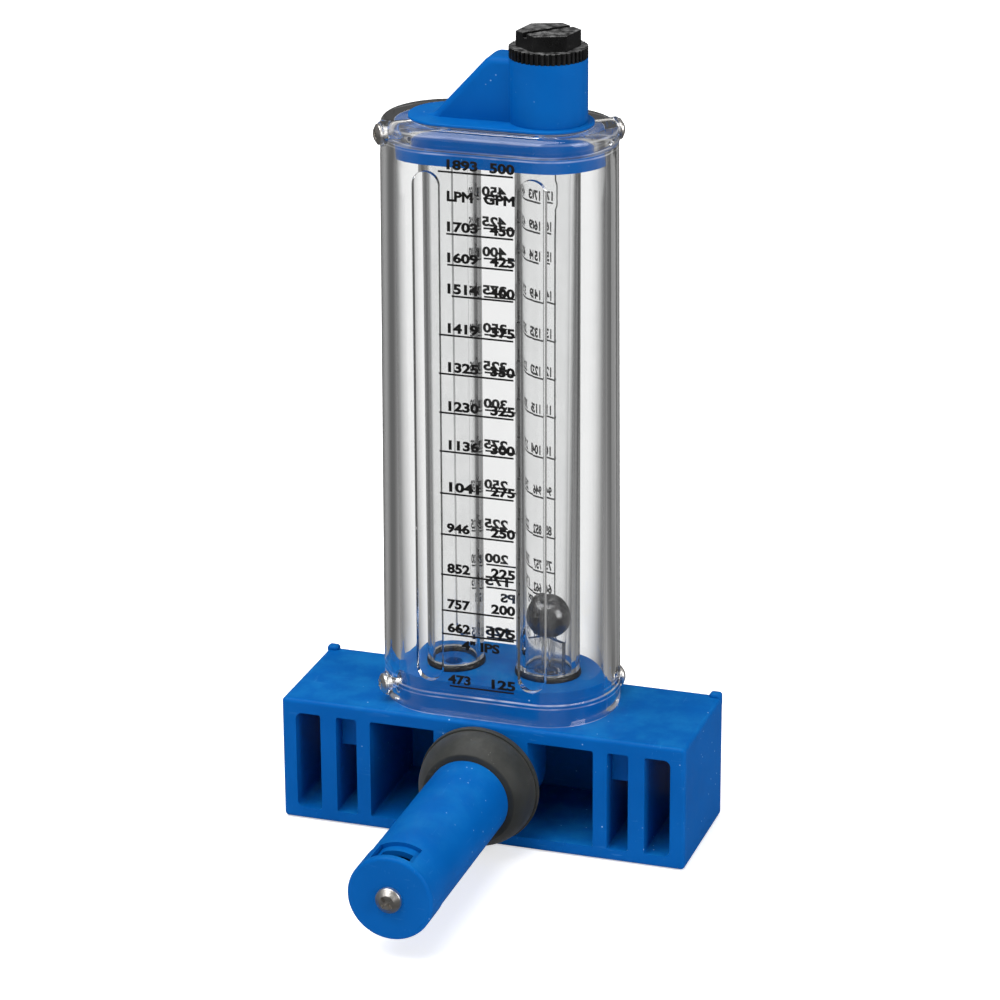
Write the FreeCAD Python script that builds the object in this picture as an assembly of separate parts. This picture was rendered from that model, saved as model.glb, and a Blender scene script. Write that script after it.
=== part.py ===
import FreeCAD, Part
import math
import os

from FreeCAD import Vector as V

# Pitot-tube bypass rotameter for a vertical pipe. Millimetres, +Z up, the pipe lies towards -Y.
# The origin is the middle of the flat face under the saddle block, below the clear body's axis.

# Saddle block: a box with two clamp slots at each end and a hollow on each side of the middle boss
BLOCK_WIDTH = 112.0
BLOCK_DEPTH = 37.2
BLOCK_HEIGHT = 34.8
BLOCK_EDGE = 1.2
FLOOR_WALL = 3.4
ROOF_WALL = 3.8
END_WALL = 4.0
OUTER_SLOT = 7.0
SLOT_RIB = 4.4
INNER_SLOT = 5.8
POCKET_RIB = 3.8
SLOT_CORNER = 0.6
END_SLOT_CORNER = 1.8
SHELF_SETBACK = 5.0
SHELF_HEIGHT = 9.6
BACK_WALL = 3.5
BOSS_RADIUS = 13.0
SOCKET_END = 2.0
COLUMN_WALL = 2.3
NUB_WIDTH = 3.3
NUB_LENGTH = 2.8
NUB_HEIGHT = 1.2
NUB_EDGE = 0.9

# Pitot: a divided stem that is plugged into the block, and a cup-shaped tip cap over its end
STEM_RADIUS = 11.1
STEM_SEAT_RADIUS = 10.5
STEM_SHOULDER = 0.3
STEM_REACH = 61.4
STEM_INSERT = 14.0
STEM_WALL = 2.5
STEM_WEB = 2.0
STEM_SEAL = 1.2
SPIGOT_RADIUS = 10.0
SPIGOT_LENGTH = 8.0
SPIGOT_END = 1.6
PORT_WIDTH = 8.0
PORT_LENGTH = 3.6
SCREW_POST = 3.6
TIP_RADIUS = 11.3
TIP_FACE = 1.9
TIP_EDGE = 1.0
WINDOW_ANGLE = 58.0

# Rubber gasket: a cone that seals the hole in the pipe
GASKET_RADIUS = 16.4
GASKET_LIP = 1.6
GASKET_LIP_STEP = 0.6
GASKET_LENGTH = 10.3
GASKET_NOSE = 12.6
GASKET_CROWN = 1.1

# Clear body: a drafted stadium-shaped shell, flanged inwards at the top, with flutes and screw bosses
ARC_OFFSET = 13.5
SHELL_RADIUS_LOW = 18.6
SHELL_RADIUS_HIGH = 17.45
SHELL_LENGTH = 159.1
SHELL_EDGE = 2.3
BORE_RADIUS_LOW = 14.45
BORE_RADIUS_HIGH = 13.8
TOP_FLANGE = 5.7
FOOT_RADIUS = 15.2
FOOT_HEIGHT = 6.0
FLUTE_OFFSET = 14.0
FLUTE_WIDTH = 7.2
FLUTE_DEPTH = 2.2
FLUTE_INSET = 10.4
SCREW_ANGLE = 38.0
BASE_SCREW_INSET = 5.0
TOP_SCREW_INSET = 3.4
SCREW_BOSS_RADIUS = 3.2
SCREW_BOSS_PROUD = 0.9

# Plugs that close the clear body
BASE_PLUG_HEIGHT = 9.6
CAP_PLUG_DEPTH = 9.4
PLUG_BORE = 3.5
PASSAGE_RADIUS = 2.3
PASSAGE_OFFSET = 3.5
PASSAGE_RISE = 6.0

# Tubes inside the clear body and the rings that they stand on
TUBE_OFFSET = 13.1
TUBE_RADIUS = 8.2
METER_BORE_LOW = 6.1
METER_BORE_HIGH = 7.0
RETURN_BORE = 6.4
TUBE_RING = 2.4
TUBE_RING_MEAN = 7.4
TUBE_RING_SUNK = 0.9

# Float and its stops
BALL_RADIUS = 5.8
STOP_HEIGHT = 10.0
STOP_FLANGE = 1.2
STOP_FIN = 1.2
STOP_FINS = 3
STOP_SPIGOT = 4.0
STOP_BORE = 2.3
BUMPER_RADIUS = 3.2
BUMPER_THICKNESS = 1.4
BUMPER_ROD = 2.0
BUMPER_RISE = 5.7

# Top cap: neck, round boss over the metering tube and a sloping bridge to the return tube
NECK_OFFSET = 12.6
NECK_SHIFT = 0.5
NECK_RADIUS = 11.7
NECK_PROUD = 0.6
NECK_EDGE = 0.4
CAP_BOSS_RADIUS = 10.0
CAP_BOSS_HEIGHT = 16.4
CAP_BORE = 7.1
BRIDGE_WIDTH = 10.0
BRIDGE_EDGE = 1.8
BRIDGE_TOP_RUN = 4.6
BRIDGE_FOOT = 16.6
BRIDGE_TOE = 4.0
BRIDGE_CREST = 3.5
BRIDGE_BLEND = 5.0
CHANNEL_RADIUS = 2.8
CHANNEL_LOW = 4.0
CHANNEL_HIGH = 10.5

# Cleaning plug: knurled flange, hexagon with a driver slot, plain shank
PLUG_FLANGE_RADIUS = 10.0
PLUG_FLANGE = 2.8
KNURLS = 44
KNURL_RADIUS = 0.45
KNURL_DEPTH = 0.7
HEX_ACROSS_FLATS = 14.2
HEX_HEIGHT = 4.1
HEX_TURN = 21.0
SLOT_WIDTH = 1.8
SLOT_DEPTH = 1.3
SHANK_LENGTH = 8.4
PLUG_RING = 1.5
PLUG_RING_RECESS = 1.6

# Screws: pan heads with a cross recess
TIP_SCREW_HEAD = 3.4
TIP_SCREW_HEAD_HEIGHT = 2.2
TIP_SCREW_SHANK = 1.75
TIP_SCREW_LENGTH = 10.0
TIP_SCREW_POST = 12.0
BODY_SCREW_HEAD = 2.7
BODY_SCREW_HEAD_HEIGHT = 1.4
BODY_SCREW_SHANK = 1.4
BODY_SCREW_LENGTH = 11.0

# Clearances
PLUG_FIT = 0.10
STEM_FIT = 0.10
SEAL_FIT = 0.02
SCREW_FIT = 0.05
RUNNING_FIT = 0.05
REST_GAP = 0.30

# Derived places and sizes
FRONT = -BLOCK_DEPTH / 2
STEM_Z = BLOCK_HEIGHT / 2
SLOT_HEIGHT = BLOCK_HEIGHT - FLOOR_WALL - ROOF_WALL
OUTER_SLOT_X = BLOCK_WIDTH / 2 - END_WALL - OUTER_SLOT / 2
INNER_SLOT_X = OUTER_SLOT_X - OUTER_SLOT / 2 - SLOT_RIB - INNER_SLOT / 2
POCKET_X = INNER_SLOT_X - INNER_SLOT / 2 - POCKET_RIB
SOCKET_Y = FRONT + STEM_INSERT
BODY_TOP = BLOCK_HEIGHT + SHELL_LENGTH
FLANGE_LOW = BODY_TOP - TOP_FLANGE
BASE_SCREW_Z = BLOCK_HEIGHT + BASE_SCREW_INSET
TOP_SCREW_Z = BODY_TOP - TOP_SCREW_INSET
BASE_PLUG_TOP = BLOCK_HEIGHT + BASE_PLUG_HEIGHT
CAP_PLUG_LOW = BODY_TOP - CAP_PLUG_DEPTH
TUBE_LOW = BASE_PLUG_TOP + TUBE_RING - TUBE_RING_SUNK
TUBE_HIGH = CAP_PLUG_LOW - TUBE_RING + TUBE_RING_SUNK
BALL_Z = BASE_PLUG_TOP + STOP_HEIGHT + REST_GAP + BALL_RADIUS
BUMPER_Z = CAP_PLUG_LOW + BUMPER_RISE
NECK_TOP = BODY_TOP + NECK_PROUD
CAP_BOSS_TOP = NECK_TOP + CAP_BOSS_HEIGHT
SHANK_LOW = CAP_BOSS_TOP - SHANK_LENGTH
HEX_LOW = CAP_BOSS_TOP + PLUG_FLANGE
STEM_FRONT = FRONT - STEM_REACH
TIP_FRONT = STEM_FRONT - SPIGOT_LENGTH - TIP_FACE

UP = V(0, 0, 1)
FORWARD = V(0, -1, 0)


def box(low, high):
    return Part.makeBox(high[0] - low[0], high[1] - low[1], high[2] - low[2], V(*low))


def stadium(radius, z_low, height, offset=ARC_OFFSET, middle=0):
    """Upright prism with a half circle at each end; offset is from the middle to each arc's centre."""
    left, right = middle - offset, middle + offset
    round_right = Part.Arc(V(right, -radius, 0), V(right + radius, 0, 0), V(right, radius, 0)).toShape()
    round_left = Part.Arc(V(left, radius, 0), V(left - radius, 0, 0), V(left, -radius, 0)).toShape()
    back = Part.makeLine(V(right, radius, 0), V(left, radius, 0))
    front = Part.makeLine(V(left, -radius, 0), V(right, -radius, 0))
    face = Part.Face(Part.Wire([round_right, back, round_left, front]))
    face.translate(V(0, 0, z_low))
    return face.extrude(V(0, 0, height))


def drafted_stadium(radius_low, radius_high, z_low, z_high):
    """Upright stadium whose radius changes evenly from its foot to its top."""
    height = z_high - z_low
    left = Part.makeCone(radius_low, radius_high, height, V(-ARC_OFFSET, 0, z_low), UP)
    right = Part.makeCone(radius_low, radius_high, height, V(ARC_OFFSET, 0, z_low), UP)
    x = -ARC_OFFSET
    points = [V(x, -radius_low, z_low), V(x, radius_low, z_low),
              V(x, radius_high, z_high), V(x, -radius_high, z_high)]
    middle = Part.Face(Part.makePolygon(points + points[:1])).extrude(V(2 * ARC_OFFSET, 0, 0))
    return middle.fuse([left, right]).removeSplitter()


def shell_radius(z):
    share = (z - BLOCK_HEIGHT) / SHELL_LENGTH
    return SHELL_RADIUS_LOW + (SHELL_RADIUS_HIGH - SHELL_RADIUS_LOW) * share


def bore_radius(z):
    share = (z - BLOCK_HEIGHT) / (FLANGE_LOW - BLOCK_HEIGHT)
    return BORE_RADIUS_LOW + (BORE_RADIUS_HIGH - BORE_RADIUS_LOW) * share


def screw_face(z):
    """Distance of a screw boss's face from the arc's centre."""
    return shell_radius(z) + SCREW_BOSS_PROUD


def upright(radius, x, y, z_low, z_high):
    return Part.makeCylinder(radius, z_high - z_low, V(x, y, z_low), UP)


def along_y(radius, x, z, y_low, y_high):
    return Part.makeCylinder(radius, y_high - y_low, V(x, y_low, z), V(0, 1, 0))


def ring(mean_radius, section, centre, axis=UP):
    return Part.makeTorus(mean_radius, section / 2, centre, axis)


def revolved(points, centre, axis):
    """Turns a closed outline of (radius, distance along axis) about the axis."""
    across = V(1, 0, 0)
    outline = [centre + across * r + axis * d for r, d in points]
    return Part.Face(Part.makePolygon(outline + outline[:1])).revolve(centre, axis, 360)


def edges_where(shape, test):
    return [edge for edge in shape.Edges if test(edge)]


def at_height(z):
    def test(edge):
        low, high = edge.BoundBox.ZMin, edge.BoundBox.ZMax
        return abs(low - z) < 0.01 and abs(high - z) < 0.01
    return test


def slot_cut(x, width, depth_low, depth_high, z_low, z_high, outer_corner=SLOT_CORNER):
    """Straight slot through the block; its corners away from the middle may be rounder."""
    cut = box((x - width / 2, depth_low, z_low), (x + width / 2, depth_high, z_high))
    corners = edges_where(cut, lambda e: e.BoundBox.YLength > 1 and e.BoundBox.XLength < 0.01)
    outer = [e for e in corners if abs(e.BoundBox.XMin) > abs(x)]
    inner = [e for e in corners if abs(e.BoundBox.XMin) <= abs(x)]
    cut = cut.makeFillet(outer_corner, outer)
    inner = edges_where(cut, lambda e: any(e.CenterOfMass.isEqual(i.CenterOfMass, 0.01) for i in inner))
    return cut.makeFillet(SLOT_CORNER, inner)


def block_shell():
    half = BLOCK_WIDTH / 2
    body = box((-half, FRONT, 0), (half, -FRONT, BLOCK_HEIGHT))
    body = body.makeFillet(BLOCK_EDGE, body.Edges)
    z_low, z_high = FLOOR_WALL, FLOOR_WALL + SLOT_HEIGHT
    past = BLOCK_EDGE
    shelf_low = z_high - SHELF_HEIGHT
    for side in (-1, 1):
        body = body.cut(slot_cut(side * OUTER_SLOT_X, OUTER_SLOT, FRONT - past, -FRONT + past,
                                 z_low, z_high, END_SLOT_CORNER))
        body = body.cut(slot_cut(side * INNER_SLOT_X, INNER_SLOT, FRONT - past, -FRONT + past,
                                 z_low, shelf_low))
        body = body.cut(slot_cut(side * INNER_SLOT_X, INNER_SLOT, FRONT - past,
                                 FRONT + SHELF_SETBACK, z_low, z_high))
    pocket = box((-POCKET_X, FRONT - past, z_low), (POCKET_X, -FRONT - BACK_WALL, z_high))
    corners = edges_where(pocket, lambda e: e.BoundBox.YLength > 1 and e.BoundBox.XLength < 0.01)
    return body.cut(pocket.makeFillet(SLOT_CORNER, corners))


def block_middle():
    """Boss round the pitot socket, and the narrower column behind it that holds the passages."""
    boss_end = SOCKET_Y + SOCKET_END
    roof = BLOCK_HEIGHT - ROOF_WALL + 1
    floor = FLOOR_WALL - 1
    boss = along_y(BOSS_RADIUS, 0, STEM_Z, FRONT, boss_end)
    shoulders = box((-BOSS_RADIUS, FRONT, STEM_Z), (BOSS_RADIUS, boss_end, roof))
    half = PASSAGE_OFFSET + PASSAGE_RADIUS + COLUMN_WALL
    column = box((-half, SOCKET_Y, floor), (half, boss_end + 2 * PASSAGE_RADIUS + COLUMN_WALL, roof))
    return boss.fuse([shoulders, column])


def corner_nub(side):
    """Low pip at a back corner of the block's top."""
    x_low, x_high = sorted((side * BLOCK_WIDTH / 2, side * (BLOCK_WIDTH / 2 - NUB_WIDTH)))
    top = BLOCK_HEIGHT + NUB_HEIGHT
    nub = box((x_low, -FRONT - NUB_LENGTH, BLOCK_HEIGHT - 2 * BLOCK_EDGE), (x_high, -FRONT, top))
    return nub.makeFillet(NUB_EDGE, edges_where(nub, lambda e: e.BoundBox.ZMax > top - 0.01))


def passage(side, start_z):
    """Way from one half of the pitot socket, up the column and across the plug to one tube."""
    near, far = side * PASSAGE_OFFSET, side * TUBE_OFFSET
    y = SOCKET_Y + SOCKET_END + PASSAGE_RADIUS
    turn_z = BASE_PLUG_TOP - PASSAGE_RISE
    start = along_y(PASSAGE_RADIUS, near, start_z, SOCKET_Y - 1, y)
    climb = upright(PASSAGE_RADIUS, near, y, start_z, turn_z)
    across = V(far - near, -y, 0)
    cross = Part.makeCylinder(PASSAGE_RADIUS, across.Length, V(near, y, turn_z), across)
    rise = upright(PASSAGE_RADIUS, far, 0, turn_z, BASE_PLUG_TOP)
    bends = [Part.makeSphere(PASSAGE_RADIUS, centre)
             for centre in (V(near, y, start_z), V(near, y, turn_z), V(far, 0, turn_z))]
    return start.fuse([climb, cross, rise] + bends)


def tube_ring_groove(x, face_z, into):
    """Ring-shaped groove in a plug's face; into is -1 for a cut downwards, 1 for upwards."""
    z_low = face_z - TUBE_RING_SUNK if into < 0 else face_z
    outer = upright(TUBE_RING_MEAN + TUBE_RING / 2 + SEAL_FIT, x, 0, z_low, z_low + TUBE_RING_SUNK)
    inner = upright(TUBE_RING_MEAN - TUBE_RING / 2 - SEAL_FIT, x, 0, z_low, z_low + TUBE_RING_SUNK)
    return outer.cut(inner)


def screw_places():
    """Arc centre x and outward direction of the front left and back right screws."""
    turn = math.radians(SCREW_ANGLE)
    outward = V(math.cos(turn), math.sin(turn), 0)
    return {"left": (-ARC_OFFSET, outward * -1), "right": (ARC_OFFSET, outward)}


def screw_hole(side, z):
    x, outward = screw_places()[side]
    tip = screw_face(z) - BODY_SCREW_LENGTH - 2 * SCREW_FIT
    return Part.makeCylinder(BODY_SCREW_SHANK + SCREW_FIT, screw_face(z) - tip + 1,
                             V(x, 0, z) + outward * tip, outward)


def saddle_block():
    body = block_shell().fuse([block_middle(), corner_nub(-1), corner_nub(1)])
    foot = stadium(FOOT_RADIUS - PLUG_FIT, BLOCK_HEIGHT - 1, FOOT_HEIGHT - PLUG_FIT + 1)
    plug = stadium(bore_radius(BASE_PLUG_TOP) - PLUG_FIT, BLOCK_HEIGHT - 1, BASE_PLUG_HEIGHT + 1)
    body = body.fuse([foot, plug])
    body = body.cut(along_y(STEM_SEAT_RADIUS + STEM_FIT, 0, STEM_Z, FRONT - 1, SOCKET_Y))
    body = body.cut(passage(-1, STEM_Z + STEM_RADIUS / 2))
    body = body.cut(passage(1, STEM_Z - STEM_RADIUS / 2))
    for x in (-TUBE_OFFSET, TUBE_OFFSET):
        body = body.cut(tube_ring_groove(x, BASE_PLUG_TOP, -1))
    body = body.cut(upright(PLUG_BORE, TUBE_OFFSET, 0, BASE_PLUG_TOP - STOP_SPIGOT - REST_GAP,
                            BASE_PLUG_TOP))
    for side in ("left", "right"):
        body = body.cut(screw_hole(side, BASE_SCREW_Z))
    return body


def pitot_stem():
    inner_end = SOCKET_Y
    bore = STEM_RADIUS - STEM_WALL
    shoulder = FRONT - GASKET_LENGTH - STEM_SHOULDER
    body = along_y(STEM_RADIUS, 0, STEM_Z, STEM_FRONT, shoulder)
    body = body.fuse(along_y(STEM_SEAT_RADIUS, 0, STEM_Z, shoulder, inner_end))
    spigot_front = STEM_FRONT - SPIGOT_LENGTH + STEM_FIT
    body = body.fuse(along_y(SPIGOT_RADIUS, 0, STEM_Z, spigot_front, STEM_FRONT))
    hollow = along_y(bore, 0, STEM_Z, spigot_front + SPIGOT_END, inner_end)
    web = box((-bore, spigot_front, STEM_Z - STEM_WEB / 2), (bore, inner_end, STEM_Z + STEM_WEB / 2))
    post_end = spigot_front + TIP_SCREW_POST
    post = along_y(SCREW_POST, 0, STEM_Z, spigot_front, post_end)
    body = body.cut(hollow.cut(web.fuse(post)))
    for side in (-1, 1):
        low, high = sorted((STEM_Z + side * SCREW_POST, STEM_Z + side * (SPIGOT_RADIUS + 1)))
        y_low = spigot_front + SPIGOT_END
        body = body.cut(box((-PORT_WIDTH / 2, y_low, low), (PORT_WIDTH / 2, y_low + PORT_LENGTH, high)))
    body = body.cut(along_y(TIP_SCREW_SHANK + SCREW_FIT, 0, STEM_Z, spigot_front - 1, post_end - 1))
    groove_y = inner_end - STEM_INSERT / 2
    groove = along_y(STEM_RADIUS + 1, 0, STEM_Z, groove_y - STEM_SEAL / 2, groove_y + STEM_SEAL / 2)
    floor = STEM_SEAT_RADIUS + STEM_FIT - SEAL_FIT - STEM_SEAL
    groove = groove.cut(along_y(floor, 0, STEM_Z, groove_y - STEM_SEAL, groove_y + STEM_SEAL))
    return body.cut(groove).removeSplitter()


def stem_seal_ring():
    mean = STEM_SEAT_RADIUS + STEM_FIT - SEAL_FIT - STEM_SEAL / 2
    section = STEM_SEAL - 2 * SEAL_FIT
    return ring(mean, section, V(0, SOCKET_Y - STEM_INSERT / 2, STEM_Z), V(0, 1, 0))


def pitot_tip_cap():
    body = along_y(TIP_RADIUS, 0, STEM_Z, TIP_FRONT, STEM_FRONT)
    front = edges_where(body, lambda e: abs(e.BoundBox.YMax - TIP_FRONT) < 0.01)
    body = body.makeFillet(TIP_EDGE, front)
    body = body.cut(along_y(SPIGOT_RADIUS + STEM_FIT, 0, STEM_Z, TIP_FRONT + TIP_FACE, STEM_FRONT))
    half_window = TIP_RADIUS * math.sin(math.radians(WINDOW_ANGLE / 2))
    for side in (-1, 1):
        low, high = sorted((STEM_Z, STEM_Z + side * 2 * TIP_RADIUS))
        body = body.cut(box((-half_window, TIP_FRONT + TIP_FACE, low), (half_window, STEM_FRONT, high)))
    hole = along_y(TIP_SCREW_SHANK + SCREW_FIT, 0, STEM_Z, TIP_FRONT - 1, TIP_FRONT + TIP_FACE)
    return body.cut(hole)


def pan_screw(head_radius, height, shank_radius, length, seat, outward):
    """Pan-head screw whose head sits on seat and points outward, with a cross recess."""
    crown = 0.55 * head_radius
    side = 0.45 * height
    screw = Part.makeCylinder(head_radius, side, seat, outward)
    dome = Part.makeCone(head_radius, crown, height - side, seat + outward * side, outward)
    screw = screw.fuse(dome).removeSplitter()
    rounds = [e for e in screw.Edges if e.Curve.TypeId == "Part::GeomCircle"
              and e.CenterOfMass.sub(seat).dot(outward) > 0.1 * height]
    screw = screw.makeFillet(0.3 * side, rounds)
    shank = Part.makeCylinder(shank_radius, length, seat - outward * length, outward)
    point = Part.makeCone(0.3 * shank_radius, shank_radius, shank_radius,
                          seat - outward * length, outward)
    shank = shank.cut(Part.makeCylinder(2 * shank_radius, shank_radius,
                                        seat - outward * length, outward)).fuse(point)
    screw = screw.fuse(shank)
    across = UP.cross(outward)
    for turn in (45, 135):
        arm = Part.makeBox(1.1 * head_radius, 0.26 * head_radius, height)
        arm.translate(V(-0.55 * head_radius, -0.13 * head_radius, 0))
        place = FreeCAD.Placement(seat + outward * (0.45 * height),
                                  FreeCAD.Rotation(across, UP, outward, "ZXY"))
        arm.rotate(V(0, 0, 0), V(0, 0, 1), turn)
        screw = screw.cut(arm.transformGeometry(place.toMatrix()))
    return screw


def pitot_tip_screw():
    return pan_screw(TIP_SCREW_HEAD, TIP_SCREW_HEAD_HEIGHT, TIP_SCREW_SHANK, TIP_SCREW_LENGTH,
                     V(0, TIP_FRONT, STEM_Z), FORWARD)


def pipe_gasket():
    inner = STEM_SEAT_RADIUS + STEM_FIT
    cone = GASKET_RADIUS - GASKET_LIP_STEP
    start, end = GASKET_LIP, GASKET_LENGTH
    bulge = V((cone + GASKET_NOSE) / 2 + GASKET_CROWN, 0, (start + end) / 2)

    def at(radius, distance):
        return V(radius, FRONT - distance, STEM_Z)

    edges = [Part.makeLine(at(inner, 0), at(GASKET_RADIUS, 0)),
             Part.makeLine(at(GASKET_RADIUS, 0), at(GASKET_RADIUS, start)),
             Part.makeLine(at(GASKET_RADIUS, start), at(cone, start)),
             Part.Arc(at(cone, start), at(bulge.x, bulge.z), at(GASKET_NOSE, end)).toShape(),
             Part.makeLine(at(GASKET_NOSE, end), at(inner, end)),
             Part.makeLine(at(inner, end), at(inner, 0))]
    body = Part.Face(Part.Wire(edges)).revolve(V(0, 0, STEM_Z), V(0, 1, 0), 360)
    lip = edges_where(body, lambda e: e.BoundBox.XMax > GASKET_RADIUS - 0.01
                      and e.BoundBox.YLength < 0.01)
    nose = edges_where(body, lambda e: abs(e.BoundBox.XMax - GASKET_NOSE) < 0.01
                       and e.BoundBox.YLength < 0.01)
    return body.makeFillet(0.5 * GASKET_LIP_STEP, lip).makeFillet(0.5, nose)


def flute(side, face):
    """Round-ended cutter that leans with the shell's draft; face is -1 at the front, 1 at the back."""
    radius = FLUTE_WIDTH / 2
    x = side * FLUTE_OFFSET
    z_low = BLOCK_HEIGHT + FLUTE_INSET + radius
    z_high = BODY_TOP - FLUTE_INSET - radius
    middle = (z_low + z_high) / 2
    surface = shell_radius(middle)
    low, high = sorted((face * (surface + 1), face * (surface - FLUTE_DEPTH)))
    body = box((x - radius, low, z_low), (x + radius, high, z_high))
    body = body.fuse([along_y(radius, x, z_low, low, high), along_y(radius, x, z_high, low, high)])
    draft = math.degrees(math.atan((SHELL_RADIUS_LOW - SHELL_RADIUS_HIGH) / SHELL_LENGTH))
    body.rotate(V(0, face * surface, middle), V(1, 0, 0), face * draft)
    return body


def screw_boss(side, z):
    x, outward = screw_places()[side]
    start = bore_radius(z) - 0.5
    boss = Part.makeCylinder(SCREW_BOSS_RADIUS, screw_face(z) - start,
                             V(x, 0, z) + outward * start, outward)
    face = edges_where(boss, lambda e: e.Curve.TypeId == "Part::GeomCircle"
                       and (e.CenterOfMass - V(x, 0, z)).dot(outward) > screw_face(z) - 0.1)
    return boss.makeFillet(0.4, face)


def clear_body():
    body = drafted_stadium(SHELL_RADIUS_LOW, SHELL_RADIUS_HIGH, BLOCK_HEIGHT, BODY_TOP)
    ends = edges_where(body, at_height(BLOCK_HEIGHT)) + edges_where(body, at_height(BODY_TOP))
    body = body.makeFillet(SHELL_EDGE, ends)
    places = [(side, z) for side in ("left", "right") for z in (BASE_SCREW_Z, TOP_SCREW_Z)]
    body = body.fuse([screw_boss(side, z) for side, z in places])
    body = body.cut(drafted_stadium(BORE_RADIUS_LOW, BORE_RADIUS_HIGH, BLOCK_HEIGHT, FLANGE_LOW))
    body = body.cut(stadium(FOOT_RADIUS, BLOCK_HEIGHT - 1, FOOT_HEIGHT + 1))
    body = body.cut(stadium(NECK_RADIUS + PLUG_FIT, FLANGE_LOW - 1, TOP_FLANGE + 2,
                            NECK_OFFSET, NECK_SHIFT))
    for side in (-1, 1):
        for face in (-1, 1):
            body = body.cut(flute(side, face))
    for side, z in places:
        body = body.cut(screw_hole(side, z))
    return body.removeSplitter()


def straight_tube(x, bore_low, bore_high):
    points = [(bore_low, 0), (TUBE_RADIUS, 0), (TUBE_RADIUS, TUBE_HIGH - TUBE_LOW),
              (bore_high, TUBE_HIGH - TUBE_LOW)]
    return revolved(points, V(x, 0, TUBE_LOW), UP)


def tube_ring(x, at_base):
    sunk = TUBE_RING_SUNK - TUBE_RING / 2
    z = BASE_PLUG_TOP - sunk if at_base else CAP_PLUG_LOW + sunk
    return ring(TUBE_RING_MEAN, TUBE_RING, V(x, 0, z))


def lower_float_stop():
    """Flanged spigot with upright fins that the ball comes to rest on."""
    x, z = TUBE_OFFSET, BASE_PLUG_TOP
    flange_radius = TUBE_RING_MEAN - TUBE_RING / 2 - 2 * SEAL_FIT - REST_GAP
    body = upright(flange_radius, x, 0, z, z + STOP_FLANGE)
    body = body.fuse(upright(PLUG_BORE - PLUG_FIT, x, 0, z - STOP_SPIGOT, z))
    body = body.cut(upright(STOP_BORE, x, 0, z - STOP_SPIGOT, z + STOP_FLANGE))
    fin = box((x, -STOP_FIN / 2, z), (x + flange_radius - STOP_FIN / 2, STOP_FIN / 2, z + STOP_HEIGHT))
    for index in range(STOP_FINS):
        turned = fin.copy()
        turned.rotate(V(x, 0, 0), UP, 90 + index * 360 / STOP_FINS)
        body = body.fuse(turned)
    return body.removeSplitter()


def upper_float_stop():
    """Rod with a round bumper that hangs from the cleaning plug."""
    x = TUBE_OFFSET
    rod = upright(BUMPER_ROD, x, 0, BUMPER_Z, SHANK_LOW + BUMPER_ROD)
    bumper = upright(BUMPER_RADIUS, x, 0, BUMPER_Z, BUMPER_Z + BUMPER_THICKNESS)
    bumper = bumper.makeFillet(0.4, edges_where(bumper, at_height(BUMPER_Z)))
    return rod.fuse(bumper).removeSplitter()


def bridge():
    """Wedge from the cap's boss down to the neck's top over the return tube."""
    half = BRIDGE_WIDTH / 2
    toe = -BRIDGE_FOOT - BRIDGE_TOE
    crest = TUBE_OFFSET - CAP_BOSS_RADIUS - BRIDGE_TOP_RUN
    points = [V(TUBE_OFFSET, -half, FLANGE_LOW), V(TUBE_OFFSET, -half, CAP_BOSS_TOP),
              V(crest, -half, CAP_BOSS_TOP), V(-BRIDGE_FOOT, -half, NECK_TOP),
              V(toe, -half, NECK_TOP), V(toe, -half, FLANGE_LOW)]
    body = Part.Face(Part.makePolygon(points + points[:1])).extrude(V(0, BRIDGE_WIDTH, 0))

    def along_width(x, z):
        return edges_where(body, lambda e: e.BoundBox.YLength > 1 and e.BoundBox.XLength < 0.01
                           and abs(e.BoundBox.XMin - x) < 0.01 and abs(e.BoundBox.ZMin - z) < 0.01)

    body = body.makeFillet(BRIDGE_CREST, along_width(crest, CAP_BOSS_TOP))
    body = body.makeFillet(BRIDGE_BLEND, along_width(-BRIDGE_FOOT, NECK_TOP))
    sides = edges_where(body, lambda e: e.BoundBox.YLength < 0.01 and e.BoundBox.XLength > 0.5
                        and e.BoundBox.ZMin > FLANGE_LOW + 1)
    return body.makeFillet(BRIDGE_EDGE, sides)


def cap_channel():
    """Sloping bore that joins the two tubes inside the bridge."""
    start = V(-TUBE_OFFSET, 0, CAP_PLUG_LOW + CHANNEL_LOW)
    end = V(TUBE_OFFSET, 0, CAP_PLUG_LOW + CHANNEL_HIGH + CHANNEL_LOW)
    run = end - start
    bore = Part.makeCylinder(CHANNEL_RADIUS, run.Length, start, run)
    drop = upright(CHANNEL_RADIUS, -TUBE_OFFSET, 0, CAP_PLUG_LOW, start.z)
    return bore.fuse([Part.makeSphere(CHANNEL_RADIUS, start), drop])


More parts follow.
